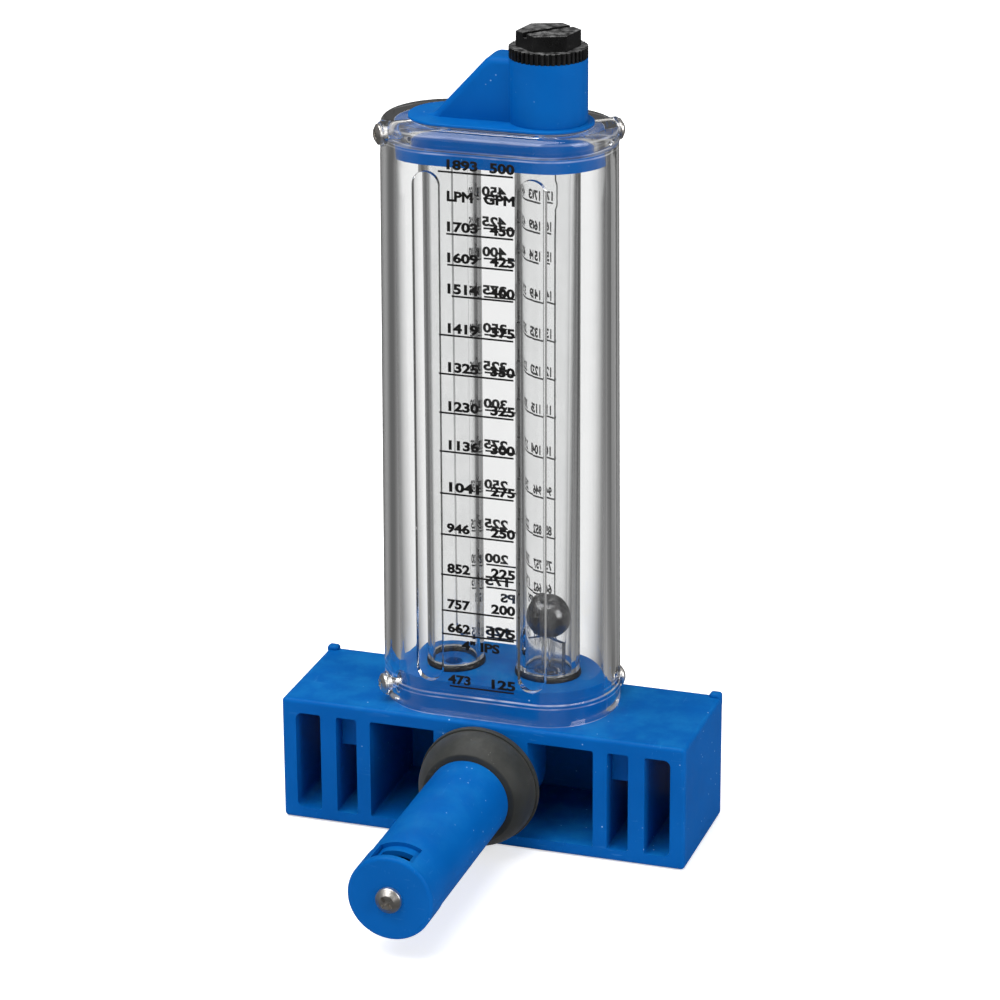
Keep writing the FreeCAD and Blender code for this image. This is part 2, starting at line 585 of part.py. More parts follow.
def top_cap():
    body = stadium(BORE_RADIUS_HIGH - PLUG_FIT, CAP_PLUG_LOW, FLANGE_LOW - CAP_PLUG_LOW)
    neck = stadium(NECK_RADIUS, FLANGE_LOW - 1, NECK_TOP - FLANGE_LOW + 1, NECK_OFFSET, NECK_SHIFT)
    neck = neck.makeFillet(NECK_EDGE, edges_where(neck, at_height(NECK_TOP)))
    boss = upright(CAP_BOSS_RADIUS, TUBE_OFFSET, 0, BODY_TOP, CAP_BOSS_TOP)
    body = body.fuse([neck, boss, bridge()])
    body = body.cut(upright(CAP_BORE, TUBE_OFFSET, 0, CAP_PLUG_LOW, CAP_BOSS_TOP))
    recess = CAP_BORE + PLUG_RING
    body = body.cut(upright(recess, TUBE_OFFSET, 0, CAP_BOSS_TOP - PLUG_RING_RECESS, CAP_BOSS_TOP))
    body = body.cut(cap_channel())
    body = body.cut(tube_ring_groove(-TUBE_OFFSET, CAP_PLUG_LOW, 1))
    body = body.cut(tube_ring_groove(TUBE_OFFSET, CAP_PLUG_LOW, 1))
    for side in ("left", "right"):
        body = body.cut(screw_hole(side, TOP_SCREW_Z))
    return body.removeSplitter()


def knurled_flange():
    """Round flange with upright ribs round its rim."""
    x, z = TUBE_OFFSET, CAP_BOSS_TOP
    root = PLUG_FLANGE_RADIUS - KNURL_DEPTH
    body = upright(root, x, 0, z, z + PLUG_FLANGE)
    ribs = []
    for index in range(KNURLS):
        turn = 2 * math.pi * index / KNURLS
        reach = PLUG_FLANGE_RADIUS - KNURL_RADIUS
        ribs.append(upright(KNURL_RADIUS, x + reach * math.cos(turn), reach * math.sin(turn),
                            z, z + PLUG_FLANGE))
    return body.fuse(ribs)


def cleaning_plug():
    x = TUBE_OFFSET
    shank_radius = CAP_BORE - RUNNING_FIT
    body = knurled_flange().fuse(upright(shank_radius, x, 0, SHANK_LOW, CAP_BOSS_TOP))
    corner = HEX_ACROSS_FLATS / math.sqrt(3)
    turns = [math.radians(HEX_TURN + 60 * index) for index in range(6)]
    points = [V(x + corner * math.cos(t), corner * math.sin(t), HEX_LOW) for t in turns]
    hexagon = Part.Face(Part.makePolygon(points + points[:1])).extrude(V(0, 0, HEX_HEIGHT))
    hexagon = hexagon.makeFillet(0.4, edges_where(hexagon, at_height(HEX_LOW + HEX_HEIGHT)))
    body = body.fuse(hexagon)
    slot = box((-corner, -SLOT_WIDTH / 2, 0), (corner, SLOT_WIDTH / 2, SLOT_DEPTH))
    slot.rotate(V(0, 0, 0), UP, HEX_TURN + 30)
    slot.translate(V(x, 0, HEX_LOW + HEX_HEIGHT - SLOT_DEPTH))
    body = body.cut(slot)
    return body.cut(upright(BUMPER_ROD, x, 0, SHANK_LOW, SHANK_LOW + BUMPER_ROD)).removeSplitter()


def plug_ring():
    section = PLUG_RING - 2 * SEAL_FIT
    z = CAP_BOSS_TOP - PLUG_RING_RECESS / 2
    return ring(CAP_BORE + PLUG_RING / 2, section, V(TUBE_OFFSET, 0, z))


def body_screw(side, z):
    x, outward = screw_places()[side]
    return pan_screw(BODY_SCREW_HEAD, BODY_SCREW_HEAD_HEIGHT, BODY_SCREW_SHANK, BODY_SCREW_LENGTH,
                     V(x, 0, z) + outward * screw_face(z), outward)


def make_parts():
    return {
        "saddle_block": saddle_block(),
        "pitot_stem": pitot_stem(),
        "stem_seal_ring": stem_seal_ring(),
        "pitot_tip_cap": pitot_tip_cap(),
        "pitot_tip_screw": pitot_tip_screw(),
        "pipe_gasket": pipe_gasket(),
        "clear_body": clear_body(),
        "metering_tube": straight_tube(TUBE_OFFSET, METER_BORE_LOW, METER_BORE_HIGH),
        "return_tube": straight_tube(-TUBE_OFFSET, RETURN_BORE, RETURN_BORE),
        "metering_tube_lower_ring": tube_ring(TUBE_OFFSET, True),
        "metering_tube_upper_ring": tube_ring(TUBE_OFFSET, False),
        "return_tube_lower_ring": tube_ring(-TUBE_OFFSET, True),
        "return_tube_upper_ring": tube_ring(-TUBE_OFFSET, False),
        "float_ball": Part.makeSphere(BALL_RADIUS, V(TUBE_OFFSET, 0, BALL_Z)),
        "lower_float_stop": lower_float_stop(),
        "upper_float_stop": upper_float_stop(),
        "top_cap": top_cap(),
        "cleaning_plug": cleaning_plug(),
        "cleaning_plug_ring": plug_ring(),
        "body_screw_lower_left": body_screw("left", BASE_SCREW_Z),
        "body_screw_lower_right": body_screw("right", BASE_SCREW_Z),
        "body_screw_upper_left": body_screw("left", TOP_SCREW_Z),
        "body_screw_upper_right": body_screw("right", TOP_SCREW_Z),
    }


os.makedirs("parts", exist_ok=True)
for name, shape in make_parts().items():
    print(f"{name}: {len(shape.Solids)} solid, valid {shape.isValid()}, {shape.Volume:.0f} mm3")
    shape.exportStep(f"parts/{name}.step")
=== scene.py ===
import math

import bmesh
import bpy
from mathutils import Matrix, Vector


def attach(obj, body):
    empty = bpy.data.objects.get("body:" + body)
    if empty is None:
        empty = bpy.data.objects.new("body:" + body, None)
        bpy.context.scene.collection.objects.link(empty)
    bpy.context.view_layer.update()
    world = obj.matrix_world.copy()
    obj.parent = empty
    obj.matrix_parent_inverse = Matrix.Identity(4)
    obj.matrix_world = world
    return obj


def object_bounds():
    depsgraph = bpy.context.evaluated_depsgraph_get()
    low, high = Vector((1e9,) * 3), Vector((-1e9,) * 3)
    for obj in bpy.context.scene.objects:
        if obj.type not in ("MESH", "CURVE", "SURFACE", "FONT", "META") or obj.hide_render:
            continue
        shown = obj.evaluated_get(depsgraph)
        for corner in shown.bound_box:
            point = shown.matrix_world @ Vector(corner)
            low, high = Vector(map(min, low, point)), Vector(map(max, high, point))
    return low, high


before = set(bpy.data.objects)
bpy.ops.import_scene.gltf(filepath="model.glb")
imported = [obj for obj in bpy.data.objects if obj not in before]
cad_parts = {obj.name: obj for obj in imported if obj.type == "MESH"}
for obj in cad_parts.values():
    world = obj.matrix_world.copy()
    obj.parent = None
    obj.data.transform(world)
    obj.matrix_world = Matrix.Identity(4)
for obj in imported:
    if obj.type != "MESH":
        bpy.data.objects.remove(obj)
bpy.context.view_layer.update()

mm = 0.001  # one millimetre in metres
perMetre = 1000.0  # millimetres in a metre, for pattern sizes given in millimetres


def newGroup(name, inputs, outputs):
    group = bpy.data.node_groups.new(name, "ShaderNodeTree")
    for label, value in inputs.items():
        socket = group.interface.new_socket(label, in_out="INPUT", socket_type="NodeSocketFloat")
        socket.default_value = value
    for label in outputs:
        group.interface.new_socket(label, in_out="OUTPUT", socket_type="NodeSocketFloat")
    start = group.nodes.new("NodeGroupInput")
    end = group.nodes.new("NodeGroupOutput")
    return group, start, end


def addNode(tree, kind, values=None, **settings):
    node = tree.nodes.new(kind)
    for key, value in settings.items():
        setattr(node, key, value)
    for key, value in (values or {}).items():
        node.inputs[key].default_value = value
    return node


def mathNode(tree, operation, first, second=None, clamp=False):
    node = addNode(tree, "ShaderNodeMath", operation=operation, use_clamp=clamp)
    for index, value in enumerate((first, second)):
        if value is None:
            continue
        if isinstance(value, (int, float)):
            node.inputs[index].default_value = value
        else:
            tree.links.new(value, node.inputs[index])
    return node.outputs[0]


def rampNode(tree, source, low, high, toLow=0.0, toHigh=1.0):
    node = addNode(tree, "ShaderNodeMapRange", interpolation_type="SMOOTHSTEP")
    node.inputs["From Min"].default_value = low
    node.inputs["From Max"].default_value = high
    node.inputs["To Min"].default_value = toLow
    node.inputs["To Max"].default_value = toHigh
    tree.links.new(source, node.inputs["Value"])
    return node.outputs["Result"]


def addNoise(tree, vector, scale, detail, roughness):
    node = addNode(tree, "ShaderNodeTexNoise", {"Detail": detail, "Roughness": roughness})
    tree.links.new(vector, node.inputs["Vector"])
    tree.links.new(scale, node.inputs["Scale"])
    return node.outputs["Fac"]


def sizeToScale(group, start, label):
    # a pattern's size in millimetres, as the scale that its texture node takes
    return mathNode(group, "DIVIDE", perMetre, start.outputs[label])


grainShape = {
    "fineDetail": 2.0, "fineRoughness": 0.6, "cloudDetail": 2.0, "cloudRoughness": 0.55,
    "speckCrowding": 6.0, "speckEdge": (0.10, 0.04),
}


def buildGrain():
    # fine even texture with slow cloudy drift, for moulded and rubber skins
    group, start, end = newGroup("surfaceGrain", {"Grain Size": 0.4, "Cloud Size": 14.0},
                                 ("Height", "Clouds", "Specks"))
    links = group.links
    place = addNode(group, "ShaderNodeTexCoord").outputs["Object"]
    cloudScale = sizeToScale(group, start, "Cloud Size")
    fine = addNoise(group, place, sizeToScale(group, start, "Grain Size"),
                    grainShape["fineDetail"], grainShape["fineRoughness"])
    cloud = addNoise(group, place, cloudScale,
                     grainShape["cloudDetail"], grainShape["cloudRoughness"])
    specks = addNode(group, "ShaderNodeTexVoronoi")
    links.new(place, specks.inputs["Vector"])
    links.new(mathNode(group, "MULTIPLY", cloudScale, grainShape["speckCrowding"]),
              specks.inputs["Scale"])
    links.new(fine, end.inputs["Height"])
    links.new(cloud, end.inputs["Clouds"])
    links.new(rampNode(group, specks.outputs["Distance"], *grainShape["speckEdge"]),
              end.inputs["Specks"])
    return group


scuffShape = {
    "strokes": (  # turn, stretch along each axis
        (0.5, (1.0, 16.0, 5.0)), (-0.8, (14.0, 1.0, 6.0)), (1.9, (1.0, 12.0, 12.0)),
    ),
    "tilt": 0.2, "lean": 0.3, "detail": 2.0, "roughness": 0.5,
    "lineEdge": (0.66, 0.72), "patchEdge": (0.48, 0.62),
}


def buildScuffs():
    # short crossing scratches that gather in patches
    group, start, end = newGroup("handlingScuffs", {"Length": 9.0, "Patch Size": 16.0},
                                 ("Mask",))
    place = addNode(group, "ShaderNodeTexCoord").outputs["Object"]
    lengthScale = sizeToScale(group, start, "Length")
    total = None
    tilt, lean = scuffShape["tilt"], scuffShape["lean"]
    for turn, stretch in scuffShape["strokes"]:
        mapping = addNode(group, "ShaderNodeMapping")
        mapping.inputs["Rotation"].default_value = (tilt, turn * lean, turn)
        mapping.inputs["Scale"].default_value = stretch
        group.links.new(place, mapping.inputs["Vector"])
        noise = addNoise(group, mapping.outputs["Vector"], lengthScale,
                         scuffShape["detail"], scuffShape["roughness"])
        line = rampNode(group, noise, *scuffShape["lineEdge"])
        total = line if total is None else mathNode(group, "MAXIMUM", total, line)
    patch = addNoise(group, place, sizeToScale(group, start, "Patch Size"),
                     scuffShape["detail"], scuffShape["roughness"])
    gathered = mathNode(group, "MULTIPLY", total, rampNode(group, patch, *scuffShape["patchEdge"]))
    group.links.new(gathered, end.inputs["Mask"])
    return group


dustShape = {
    "detail": 6.0, "roughness": 0.65, "upwardEdge": (0.35, 0.95), "spreadEdge": (0.35, 0.75),
}


def buildDust():
    # faint dust that settles on faces that look up
    group, start, end = newGroup("settledDust", {"Patch Size": 20.0}, ("Mask",))
    place = addNode(group, "ShaderNodeTexCoord").outputs["Object"]
    facing = addNode(group, "ShaderNodeNewGeometry")
    split = addNode(group, "ShaderNodeSeparateXYZ")
    group.links.new(facing.outputs["Normal"], split.inputs["Vector"])
    upward = rampNode(group, split.outputs["Z"], *dustShape["upwardEdge"])
    noise = addNoise(group, place, sizeToScale(group, start, "Patch Size"),
                     dustShape["detail"], dustShape["roughness"])
    spread = rampNode(group, noise, *dustShape["spreadEdge"])
    group.links.new(mathNode(group, "MULTIPLY", upward, spread), end.inputs["Mask"])
    return group


grainGroup = buildGrain()
scuffGroup = buildScuffs()
dustGroup = buildDust()


def placeGroup(tree, group, **values):
    node = tree.nodes.new("ShaderNodeGroup")
    node.node_tree = group
    for label, value in values.items():
        node.inputs[label.replace("_", " ")].default_value = value
    return node


def mixColor(tree, factor, first, second):
    node = addNode(tree, "ShaderNodeMix", data_type="RGBA")
    tree.links.new(factor, node.inputs[0])
    for index, value in ((6, first), (7, second)):  # the colour sockets A and B
        if isinstance(value, tuple):
            node.inputs[index].default_value = (*value, 1.0)
        else:
            tree.links.new(value, node.inputs[index])
    return node.outputs[2]


finishShape = {
    "colorDrift": (0.3, 0.7), "roughDrift": (0.25, 0.75), "speckGather": (0.52, 0.60),
    "scuffRoughness": 0.25, "scuffDepth": 0.5,
    # how patchy the painted rim highlight is, and its weakest share
    "highlightGather": (0.38, 0.62), "highlightLeast": 0.3,
}


def paintRimHighlight(tree, shader, clouds, look):
    # painted highlight: a fine white glow, given as emission, along the moulding's rims at heights
    # of the node, patchy with the clouds
    place = addNode(tree, "ShaderNodeTexCoord")
    split = addNode(tree, "ShaderNodeSeparateXYZ")
    tree.links.new(place.outputs["Object"], split.inputs["Vector"])
    paintedRimGlow = None
    for middle, reach in look["rims"]:
        away = mathNode(tree, "SUBTRACT", split.outputs["Z"], middle * mm)
        band = rampNode(tree, mathNode(tree, "ABSOLUTE", away), 0.0, reach * mm, 1.0, 0.0)
        paintedRimGlow = band if paintedRimGlow is None else mathNode(tree, "MAXIMUM", paintedRimGlow, band)
    patchy = rampNode(tree, clouds, *finishShape["highlightGather"], finishShape["highlightLeast"], 1.0)
    paintedRimGlow = mathNode(tree, "MULTIPLY", paintedRimGlow, patchy)
    paintedRimGlow = mathNode(tree, "MULTIPLY", paintedRimGlow, look["rimPaintedHighlight"])
    # the painted highlight glows white through Emission Color, with or without any lamp
    tree.links.new(mixColor(tree, paintedRimGlow, (0.0, 0.0, 0.0), (1.0, 1.0, 1.0)),
                   shader.inputs["Emission Color"])
    shader.inputs["Emission Strength"].default_value = 1.0


def openToLight(tree, shader, look):
    # light on its way to the pieces inside isn't bent, so they aren't left in the dark
    path = addNode(tree, "ShaderNodeLightPath")
    lit = mathNode(tree, "MAXIMUM", path.outputs["Is Shadow Ray"], path.outputs["Is Diffuse Ray"])
    hidden = mathNode(tree, "MULTIPLY", lit, look["letsLightIn"])
    # a ray caught inside a wall is let out straight, before it runs out of turns and goes black
    caught = mathNode(tree, "GREATER_THAN", path.outputs["Glossy Depth"], look["turnsInside"] + 0.5)
    hidden = mathNode(tree, "MAXIMUM", hidden, caught)
    tree.links.new(mathNode(tree, "SUBTRACT", 1.0, hidden), shader.inputs["Alpha"])


def makeFinish(name, look):
    # one procedural material from a dictionary of values a user would change
    material = bpy.data.materials.new(name)
    material.use_nodes = True
    tree = material.node_tree
    shader = tree.nodes["Principled BSDF"]
    links = tree.links
    shader.inputs["Metallic"].default_value = look.get("metallic", 0.0)
    shader.inputs["IOR"].default_value = look.get("ior", 1.5)
    shader.inputs["Transmission Weight"].default_value = look.get("transmission", 0.0)
    shader.inputs["Specular IOR Level"].default_value = look.get("specular", 0.5)
    shader.inputs["Sheen Weight"].default_value = look.get("sheen", 0.0)
    grain = placeGroup(tree, grainGroup, Grain_Size=look["grainSize"], Cloud_Size=look["cloudSize"])
    clouds, height = grain.outputs["Clouds"], grain.outputs["Height"]
    color = mixColor(tree, rampNode(tree, clouds, *finishShape["colorDrift"]),
                     look["color"], look["colorShift"])
    rough = rampNode(tree, clouds, *finishShape["roughDrift"], *look["roughness"])
    if "scuffs" in look:
        scuffs = placeGroup(tree, scuffGroup, Length=look["scuffLength"],
                            Patch_Size=look["scuffPatch"])
        scuffMask = mathNode(tree, "MULTIPLY", scuffs.outputs["Mask"], look["scuffs"])
        color = mixColor(tree, scuffMask, color, look["scuffColor"])
        rougher = mathNode(tree, "MULTIPLY", scuffMask, finishShape["scuffRoughness"])
        rough = mathNode(tree, "ADD", rough, rougher, clamp=True)
        deeper = mathNode(tree, "MULTIPLY", scuffMask, finishShape["scuffDepth"])
        height = mathNode(tree, "SUBTRACT", height, deeper)
    if "specks" in look:
        gathered = rampNode(tree, clouds, *finishShape["speckGather"])
        speckMask = mathNode(tree, "MULTIPLY", grain.outputs["Specks"], gathered)
        speckMask = mathNode(tree, "MULTIPLY", speckMask, look["specks"])
        color = mixColor(tree, speckMask, color, look["speckColor"])
    if "dust" in look:
        dust = placeGroup(tree, dustGroup, Patch_Size=look["dustPatch"])
        dustMask = mathNode(tree, "MULTIPLY", dust.outputs["Mask"], look["dust"])
        color = mixColor(tree, dustMask, color, look["dustColor"])
    links.new(color, shader.inputs["Base Color"])
    links.new(rough, shader.inputs["Roughness"])
    bump = addNode(tree, "ShaderNodeBump",
                   {"Strength": look["bump"], "Distance": look["bumpDepth"] * mm})
    links.new(height, bump.inputs["Height"])
    links.new(bump.outputs["Normal"], shader.inputs["Normal"])
    # painted highlight: the rims glow white as emission
    if "rimPaintedHighlight" in look:
        paintRimHighlight(tree, shader, clouds, look)
    if "letsLightIn" in look:
        openToLight(tree, shader, look)
    return material


blueLook = {
    "color": (0.0008, 0.094, 0.366), "colorShift": (0.0012, 0.105, 0.398),
    "roughness": (0.30, 0.42), "specular": 0.04,
    "grainSize": 0.35, "cloudSize": 17.0, "bump": 0.10, "bumpDepth": 0.03,
    "scuffs": 0.18, "scuffColor": (0.05, 0.22, 0.55), "scuffLength": 8.0, "scuffPatch": 15.0,
    "dust": 0.16, "dustColor": (0.02, 0.30, 0.60), "dustPatch": 9.0,
    "specks": 0.55, "speckColor": (0.35, 0.60, 0.85),
}
blockLook = {**blueLook, "scuffs": 0.28, "dust": 0.26, "specks": 0.75}
rubberLook = {
    "color": (0.020, 0.022, 0.020), "colorShift": (0.031, 0.032, 0.029),
    "roughness": (0.50, 0.66), "specular": 0.30, "sheen": 0.10,
    "grainSize": 0.5, "cloudSize": 9.0, "bump": 0.35, "bumpDepth": 0.05,
    "scuffs": 0.15, "scuffColor": (0.12, 0.12, 0.115), "scuffLength": 5.0, "scuffPatch": 10.0,
    "dust": 0.16, "dustColor": (0.20, 0.20, 0.19), "dustPatch": 6.0,
    "specks": 0.40, "speckColor": (0.35, 0.35, 0.34),
}
ringLook = {
    "color": (0.004, 0.004, 0.004), "colorShift": (0.007, 0.007, 0.007),
    "roughness": (0.30, 0.42), "specular": 0.35,
    "grainSize": 0.25, "cloudSize": 5.0, "bump": 0.15, "bumpDepth": 0.02,
}
plugLook = {
    "color": (0.0040, 0.0040, 0.0042), "colorShift": (0.0065, 0.0065, 0.0068),
    "roughness": (0.24, 0.46), "specular": 0.45,
    "grainSize": 0.6, "cloudSize": 5.0, "bump": 0.70, "bumpDepth": 0.08,
    "scuffs": 0.35, "scuffColor": (0.10, 0.10, 0.10), "scuffLength": 4.0, "scuffPatch": 8.0,
    "dust": 0.95, "dustColor": (0.26, 0.26, 0.26), "dustPatch": 2.2,
    "specks": 0.35, "speckColor": (0.35, 0.35, 0.35),
}
acrylicLook = {
    "color": (0.965, 0.967, 0.967), "colorShift": (0.950, 0.953, 0.953),
    "roughness": (0.006, 0.016), "transmission": 1.0, "ior": 1.49,
    "letsLightIn": 0.85, "turnsInside": 2,
    "grainSize": 6.0, "cloudSize": 9.0, "bump": 0.03, "bumpDepth": 0.05,
}
bodyLook = {
    # the clear body's rims get a painted highlight that glows white as emission; its strength and
    # the rim heights follow
    **acrylicLook, "rimPaintedHighlight": 0.32,
    "rims": ((35.3, 0.5), (40.8, 0.3), (188.3, 0.35), (192.6, 0.45)),  # height, half width (mm)
}
tubeLook = {**acrylicLook, "color": (0.972, 0.974, 0.974), "ior": 1.50}
stopLook = {**acrylicLook, "color": (0.88, 0.88, 0.87), "roughness": (0.10, 0.2)}
steelLook = {
    "color": (0.72, 0.69, 0.65), "colorShift": (0.82, 0.79, 0.75), "metallic": 1.0,
    "roughness": (0.30, 0.44),
    "grainSize": 0.3, "cloudSize": 2.5, "bump": 0.25, "bumpDepth": 0.02,
    "scuffs": 0.3, "scuffColor": (0.42, 0.40, 0.38), "scuffLength": 1.5, "scuffPatch": 3.0,
}
ballLook = {
    "color": (0.12, 0.12, 0.123), "colorShift": (0.15, 0.15, 0.153), "metallic": 1.0,
    "roughness": (0.15, 0.22),
    "grainSize": 0.4, "cloudSize": 3.0, "bump": 0.05, "bumpDepth": 0.01,
    "scuffs": 0.25, "scuffColor": (0.38, 0.38, 0.38), "scuffLength": 2.0, "scuffPatch": 4.0,
}
inkLook = {
    "color": (0.004, 0.004, 0.004), "colorShift": (0.009, 0.008, 0.008),
    "roughness": (0.45, 0.6), "specular": 0.3,
    "grainSize": 0.2, "cloudSize": 2.0, "bump": 0.2, "bumpDepth": 0.01,
}
finishes = {  # look, and the nodes that have it
    "mouldedBlue": (blueLook, ("pitot_stem", "pitot_tip_cap", "top_cap")),
    "blockBlue": (blockLook, ("saddle_block",)),
    "greyRubber": (rubberLook, ("pipe_gasket",)),
    "ringRubber": (ringLook, (
        "stem_seal_ring", "cleaning_plug_ring", "metering_tube_lower_ring",
        "metering_tube_upper_ring", "return_tube_lower_ring", "return_tube_upper_ring")),
    "plugBlack": (plugLook, ("cleaning_plug",)),
    "clearAcrylic": (bodyLook, ("clear_body",)),
    "clearTube": (tubeLook, ("metering_tube", "return_tube")),
    "clearStop": (stopLook, ("lower_float_stop", "upper_float_stop")),
    "screwSteel": (steelLook, (
        "pitot_tip_screw", "body_screw_lower_left", "body_screw_lower_right",
        "body_screw_upper_left", "body_screw_upper_right")),
    "ballSteel": (ballLook, ("float_ball",)),
}
for finishName, (look, nodeNames) in finishes.items():
    material = makeFinish(finishName, look)
    for nodeName in nodeNames:
        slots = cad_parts[nodeName].data.materials
        slots.clear()
        slots.append(material)
inkMaterial = makeFinish("scaleInk", inkLook)
print("finishes ready:", len(finishes) + 1)


scalePrint = {
    "marks": (  # left figure, right figure, height over the base, left end of the line (mm)
        ("1893", "500", 184.0, -10.4), ("1703", "450", 167.9, -8.3), ("1609", "425", 159.8, -8.1),
        ("1514", "400", 151.6, -7.0), ("1419", "375", 141.1, -10.5), ("1325", "350", 130.7, -10.6),
        ("1230", "325", 120.2, -10.6), ("1136", "300", 109.7, -10.6), ("1041", "275", 98.2, -10.6),
        ("946", "250", 86.9, -10.5), ("852", "225", 75.7, -10.5), ("757", "200", 65.7, -10.4),
        ("662", "175", 59.1, -10.4), ("473", "125", 44.5, -8.3),
    ),
    "heading": (("LPM", 176.4, -8.1, -1.2), ("GPM", 176.4, 1.7, 9.8)),  # bottom, left, right
    "pipeSize": ("4\" IPS", 55.1, -5.0, 5.5),
    "lineRight": 9.4, "lineWidth": 0.48, "figureLift": 0.55, "figureHeight": 2.75,
    # where figures of four and of three digits stand
    "leftColumn4": (-8.1, 0.1), "leftColumn3": (-8.8, -2.5), "rightColumn": (3.2, 9.8),
    "stroke": 0.045, "strokeSteps": 3, "inkDepth": 0.03, "inkGap": 0.005,
    "leanLow": 50.0, "leanHigh": 180.0,  # heights where the lean of the face is measured (mm)
}


def textMesh(words, left, right, bottom, look):
    # words stretched to fill a box, standing upright and facing -Y, in millimetres
    curve = bpy.data.curves.new("words", "FONT")
    curve.body = words
    curve.bevel_depth = look["stroke"]
    curve.bevel_resolution = 0
    curve.extrude = 0.1  # any thickness, as the words are scaled to the ink's depth below
    curve.resolution_u = look["strokeSteps"]
    holder = bpy.data.objects.new("words", curve)
    bpy.context.scene.collection.objects.link(holder)
    bpy.context.view_layer.update()
    mesh = bpy.data.meshes.new_from_object(holder)
    bpy.data.objects.remove(holder)
    bpy.data.curves.remove(curve)
    low = Vector(min(v.co[i] for v in mesh.vertices) for i in range(3))
    high = Vector(max(v.co[i] for v in mesh.vertices) for i in range(3))
    size = high - low
    scale = Matrix.Diagonal(((right - left) / size.x, look["figureHeight"] / size.y,
                             look["inkDepth"] / size.z, 1))
    mesh.transform(scale @ Matrix.Translation(-low))
    mesh.transform(Matrix.Rotation(math.radians(90), 4, "X"))
    mesh.transform(Matrix.Translation((left, 0, bottom)))
    return mesh


def faceDepth(nodeName, height):
    # how far a node's front reaches towards -Y at a height, straight in front of the middle
    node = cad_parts[nodeName]
    inward = node.matrix_world.inverted()
    start = inward @ Vector((0, -1, height))
    spot = node.ray_cast(start, inward.to_3x3() @ Vector((0, 1, 0)))[1]
    return -(node.matrix_world @ spot).y


def buildScale(name, look, halfTurn):
    shape = bmesh.new()

    def putWords(words, left, right, bottom):
        mesh = textMesh(words, left, right, bottom, look)
        shape.from_mesh(mesh)
        bpy.data.meshes.remove(mesh)

    def putLine(left, right, height):
        made = bmesh.ops.create_cube(shape, size=1.0)
        bmesh.ops.scale(shape, vec=(right - left, look["inkDepth"], look["lineWidth"]),
                        verts=made["verts"])
        bmesh.ops.translate(shape, vec=((left + right) / 2, -look["inkDepth"] / 2, height),
                            verts=made["verts"])

    for leftFigure, rightFigure, height, left in look["marks"]:
        putLine(left, look["lineRight"], height)
        bottom = height + look["figureLift"]
        column = look["leftColumn4"] if len(leftFigure) == 4 else look["leftColumn3"]
        putWords(leftFigure, *column, bottom)
        putWords(rightFigure, *look["rightColumn"], bottom)
    for words, bottom, left, right in look["heading"]:
        putWords(words, left, right, bottom)
    words, bottom, left, right = look["pipeSize"]
    putWords(words, left, right, bottom)
    bmesh.ops.scale(shape, vec=(mm, mm, mm), verts=shape.verts)
    # the face under the print leans, so the print is laid against it at each height
    lowZ, highZ = look["leanLow"] * mm, look["leanHigh"] * mm
    lowDepth, highDepth = faceDepth("clear_body", lowZ), faceDepth("clear_body", highZ)
    for corner in shape.verts:
        share = (corner.co.z - lowZ) / (highZ - lowZ)
        corner.co.y -= lowDepth + (highDepth - lowDepth) * share + look["inkGap"] * mm
    if halfTurn:
        bmesh.ops.rotate(shape, verts=shape.verts, cent=(0, 0, 0),
                         matrix=Matrix.Rotation(math.pi, 3, "Z"))
    mesh = bpy.data.meshes.new(name)
    shape.to_mesh(mesh)
    shape.free()
    piece = bpy.data.objects.new(name, mesh)
    bpy.context.scene.collection.objects.link(piece)
    mesh.materials.append(inkMaterial)
    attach(piece, "meter_body")


buildScale("scalePrintFront", scalePrint, False)
buildScale("scalePrintBack", scalePrint, True)
print("scale printed on both faces")


studio = {
    "floorRadius": 4.0, "floorSides": 96, "floorBelow": 0.0002,
    "floorColor": 0.86, "floorRoughness": 0.9, "floorSpecular": 0.1,
    "glowNear": 0.56, "glowFar": 0.92, "glowRun": (0.20, 0.90),  # the floor's own glow, by distance
    "worldLight": 0.33, "mirrorDark": 0.08,
    "bentDark": 0.13, "bentBright": 0.84, "bentFloor": 1.06, "turnedBackDim": 0.66,
    "bentAbove": 0.70, "aboveEdge": (0.25, 0.75),
    "panelTurn": 45.0, "brightWithin": 14.0, "darkBeyond": 42.0,  # degrees
}


def panelMask(tree, place):
    # 1 on four bright panels, one of them straight behind the model, and 0 in the gaps between
    split = addNode(tree, "ShaderNodeSeparateXYZ")
    tree.links.new(place, split.inputs["Vector"])
    turn = math.radians(cameraSet["azimuth"])
    east, north = split.outputs["X"], split.outputs["Y"]
    along = mathNode(tree, "SUBTRACT", mathNode(tree, "MULTIPLY", north, math.cos(turn)),
                     mathNode(tree, "MULTIPLY", east, math.sin(turn)))
    across = mathNode(tree, "ADD", mathNode(tree, "MULTIPLY", east, math.cos(turn)),
                      mathNode(tree, "MULTIPLY", north, math.sin(turn)))
    angle = mathNode(tree, "ARCTAN2", mathNode(tree, "ABSOLUTE", across), along)
    folded = mathNode(tree, "PINGPONG", angle, math.radians(studio["panelTurn"]))
    return rampNode(tree, folded, math.radians(studio["brightWithin"]),
                    math.radians(studio["darkBeyond"]), 1.0, 0.0)


def mixValue(tree, factor, first, second):
    node = addNode(tree, "ShaderNodeMix", data_type="FLOAT")
    tree.links.new(factor, node.inputs[0])
    for index, value in ((2, first), (3, second)):  # the value sockets A and B
        if isinstance(value, (int, float)):
            node.inputs[index].default_value = value
        else:
            tree.links.new(value, node.inputs[index])
    return node.outputs[0]


